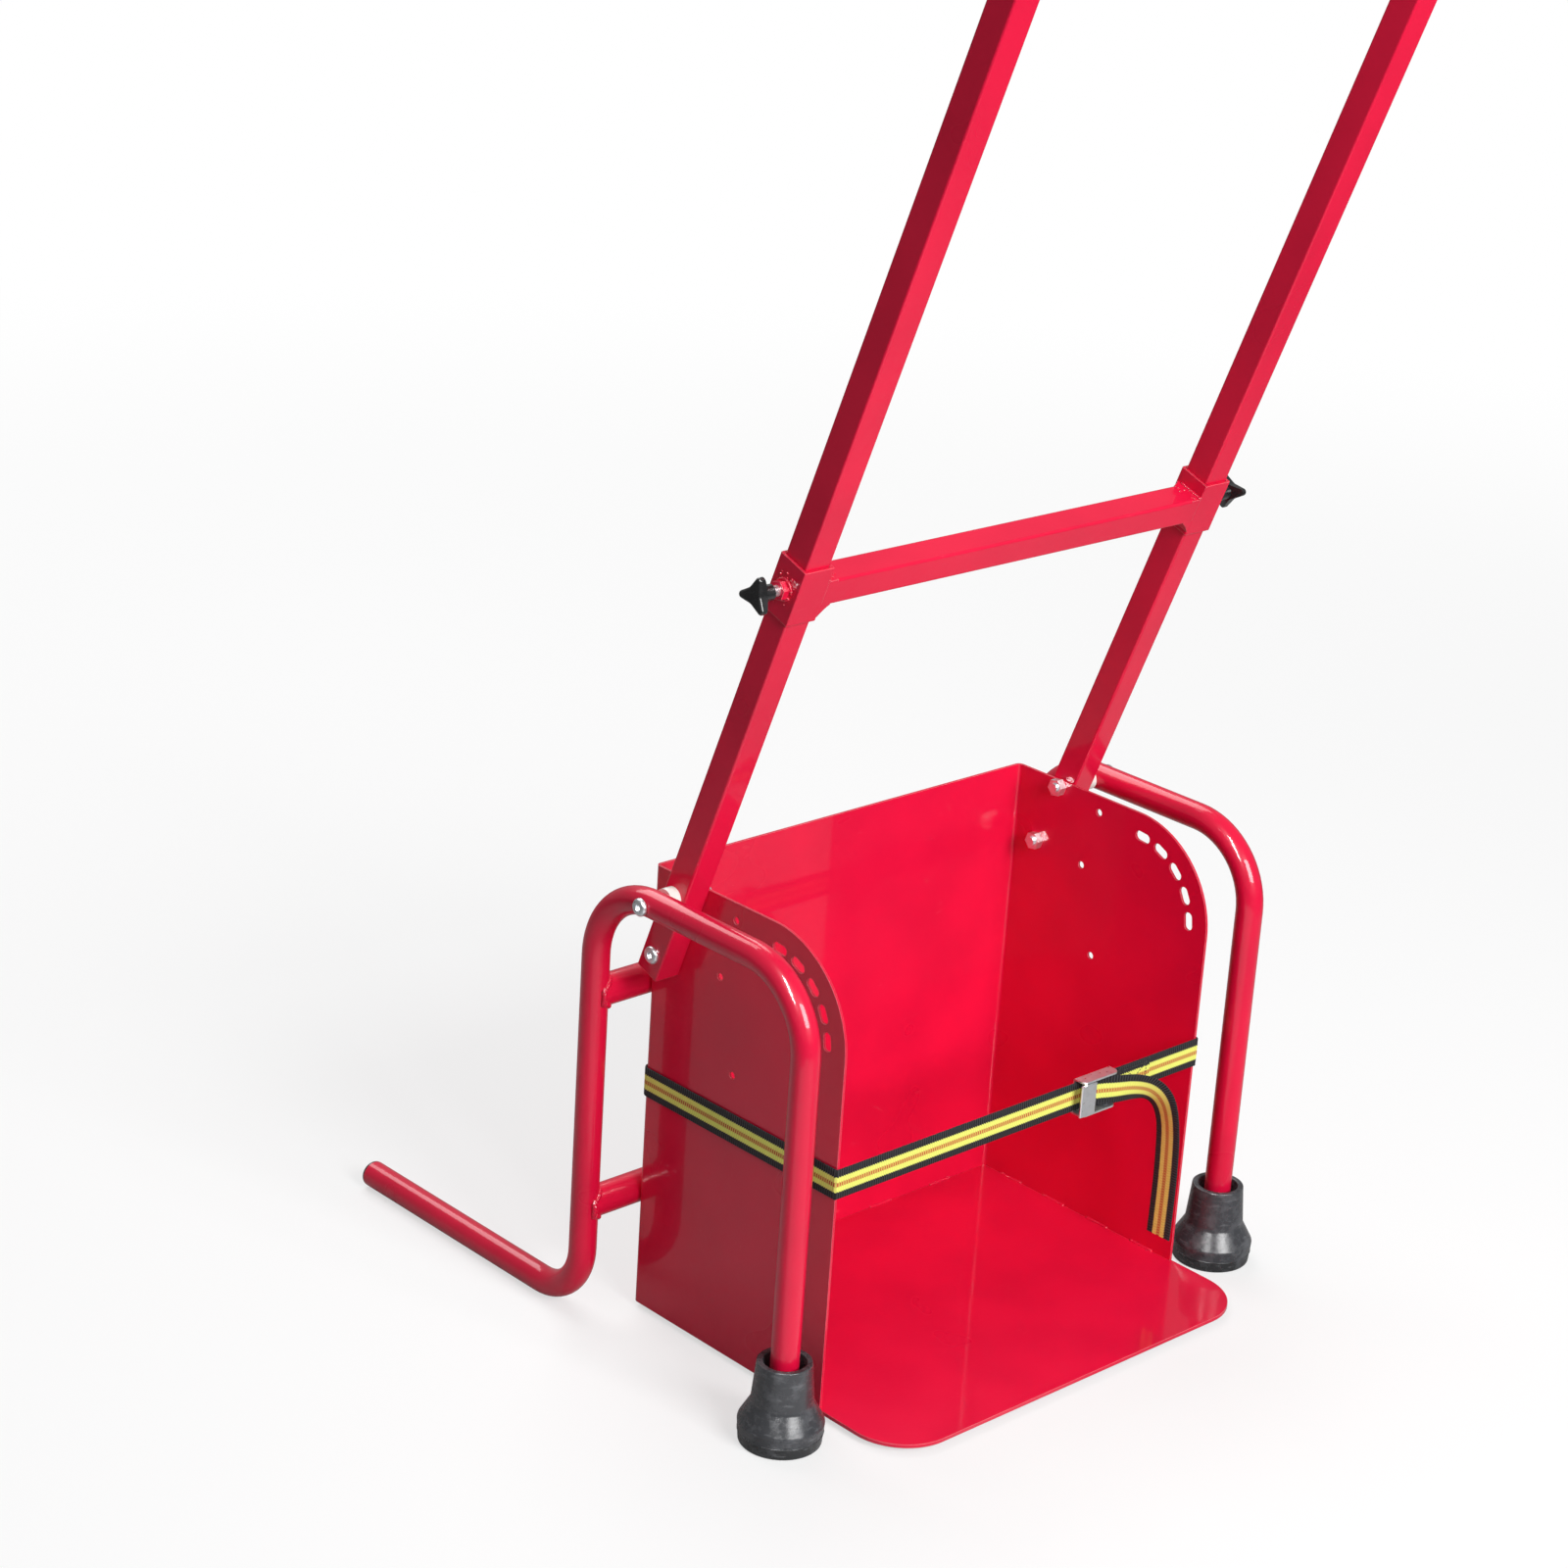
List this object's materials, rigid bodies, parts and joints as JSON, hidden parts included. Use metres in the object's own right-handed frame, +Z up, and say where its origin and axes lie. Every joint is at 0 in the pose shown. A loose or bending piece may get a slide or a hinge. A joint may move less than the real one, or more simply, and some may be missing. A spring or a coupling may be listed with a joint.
{
  "type": "drum tipper",
  "caption": "Floor-standing drum tipper: a bent-tube stand carries a tilting sheet cradle with strap, sliding retainer bar and long lever handle for pouring from a drum.",
  "frame": {"origin": "on the floor, midway between the side frames, straight below the tilt axis", "axes": "+Z up, -Y towards the open front of the cradle, +X to the right along the tilt axis"},
  "size_m": [0.5518, 0.6707, 1.2498],
  "materials": {
    "red_paint": "gloss",
    "rubber": "satin",
    "black_plastic": "gloss",
    "zinc": "zinc plated",
    "white_nylon": "satin",
    "webbing": "ribbed weave"
  },
  "bodies": {
    "stand": {"side_frame_left": "red_paint", "side_frame_right": "red_paint", "rubber_foot_left": "rubber", "rubber_foot_right": "rubber", "skid_plug_left": "black_plastic", "skid_plug_right": "black_plastic", "cross_tube_upper": "red_paint", "cross_tube_lower": "red_paint"},
    "cradle": {"cradle_shell": "red_paint", "tongue_plate": "red_paint", "handle_grip": "red_paint", "bar_bolts": "zinc", "cradle_nuts": "zinc", "strap_loop": "webbing", "strap_tail": "webbing", "buckle_frame": "zinc", "cam_pin": "zinc", "loop_bar": "zinc", "handle_bar_left": "red_paint", "handle_bar_right": "red_paint", "bar_cap_left": "black_plastic", "bar_cap_right": "black_plastic", "pivot_bolt_left": "zinc", "pivot_bolt_right": "zinc", "pivot_spacer_left": "white_nylon", "pivot_spacer_right": "white_nylon"},
    "retainer": {"retainer_crossbar": "red_paint", "retainer_sleeve_left": "red_paint", "retainer_sleeve_right": "red_paint", "clamp_nut_left": "red_paint", "clamp_nut_right": "red_paint"},
    "knob_left": {"star_knob_left": "black_plastic", "clamp_stud_left": "zinc"},
    "knob_right": {"star_knob_right": "black_plastic", "clamp_stud_right": "zinc"},
    "cam": {"cam_lever": "zinc"}
  },
  "joints": [
    {"name": "cradle_tilt", "type": "hinge", "parent": "stand", "child": "cradle", "pos_m": [0, 0, 0.372], "axis": [-1, 0, 0], "range_deg": [0, 130]},
    {"name": "retainer_slide", "type": "slide", "parent": "cradle", "child": "retainer", "axis": [0, -0.3486, 0.9373], "range_m": [-0.16, 0.59]},
    {"name": "knob_left_turn", "type": "hinge", "parent": "retainer", "child": "knob_left", "pos_m": [-0.242, -0.10004, 0.641], "axis": [-1, 0, 0], "range_deg": [0, 450]},
    {"name": "knob_right_turn", "type": "hinge", "parent": "retainer", "child": "knob_right", "pos_m": [0.242, -0.10004, 0.641], "axis": [1, 0, 0], "range_deg": [0, 450]},
    {"name": "cam_release", "type": "hinge", "parent": "cradle", "child": "cam", "pos_m": [0.064, -0.1759, 0.197], "axis": [0, 0, 1], "range_deg": [0, 55], "stiffness_Nm_per_rad": 0.05}
  ]
}
